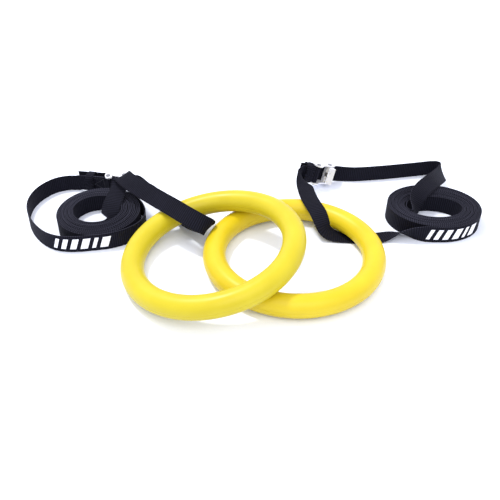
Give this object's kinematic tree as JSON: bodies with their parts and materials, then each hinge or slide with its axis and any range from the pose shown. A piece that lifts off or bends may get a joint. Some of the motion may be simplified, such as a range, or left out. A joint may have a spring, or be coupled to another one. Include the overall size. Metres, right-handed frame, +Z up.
{
  "type": "gymnastics rings",
  "caption": "Pair of hollow moulded gymnastics rings on long webbing straps with cam buckles, straps folded and rolled up beside the rings.",
  "frame": {"origin": "on the floor, under the middle of the whole layout's footprint", "axes": "+X to the right along the layout, from the left coil to the right coil; +Y away from the viewer, from the rings towards the buckles; +Z up"},
  "size_m": [0.6423, 0.3792, 0.07],
  "materials": {
    "yellow_plastic": "satin moulded plastic, glossy highlights, faint mottle",
    "black_webbing": "woven polyester webbing with fine cross ribs",
    "bright_zinc": "bright zinc plating, soft reflections",
    "steel": "plain steel"
  },
  "bodies": {
    "right_set": {"right_buckle_frame": "bright_zinc", "right_cam_pin": "steel", "right_strap_bar": "steel", "right_cam_spring": "steel", "right_strap_sewn_eye": "black_webbing", "right_strap_ring_run": "black_webbing", "right_strap_coil": "black_webbing", "right_strap_lead": "black_webbing", "right_strap_band": "black_webbing", "right_strap_tail_wrap": "black_webbing"},
    "right_ring": {"right_ring_top_shell": "yellow_plastic", "right_ring_bottom_shell": "yellow_plastic"},
    "right_cam": {"right_cam_lever": "bright_zinc"},
    "left_set": {"left_buckle_frame": "bright_zinc", "left_cam_pin": "steel", "left_strap_bar": "steel", "left_cam_spring": "steel", "left_strap_sewn_eye": "black_webbing", "left_strap_outer_loop": "black_webbing", "left_strap_coil": "black_webbing", "left_strap_lead": "black_webbing", "left_strap_band": "black_webbing", "left_strap_tail_wrap": "black_webbing"},
    "left_ring": {"left_ring_top_shell": "yellow_plastic", "left_ring_bottom_shell": "yellow_plastic"},
    "left_cam": {"left_cam_lever": "bright_zinc"}
  },
  "joints": [
    {"name": "right_ring_turn", "type": "hinge", "parent": "right_set", "child": "right_ring", "pos_m": [0.0526, -0.0505, 0.01592], "axis": [-0.0105, -0.0055, 0.9999], "continuous": true},
    {"name": "right_cam_open", "type": "hinge", "parent": "right_set", "child": "right_cam", "pos_m": [0.11253, 0.14993, 0.01968], "axis": [0.2229, 0.1886, 0.9564], "range_deg": [0, 30], "stiffness_Nm_per_rad": 0.05, "springref_deg": -34.38},
    {"name": "left_set_lift", "type": "slide", "parent": "right_set", "child": "left_set", "axis": [0, 0, 1], "range_m": [0, 0.15]},
    {"name": "left_ring_turn", "type": "hinge", "parent": "left_set", "child": "left_ring", "pos_m": [-0.051, -0.0721, 0.03514], "axis": [-0.1937, -0.0431, 0.9801], "continuous": true},
    {"name": "left_cam_open", "type": "hinge", "parent": "left_set", "child": "left_cam", "pos_m": [-0.19265, 0.10951, 0.01893], "axis": [-0.0709, 0.0048, 0.9975], "range_deg": [0, 30], "stiffness_Nm_per_rad": 0.05, "springref_deg": -34.38}
  ]
}
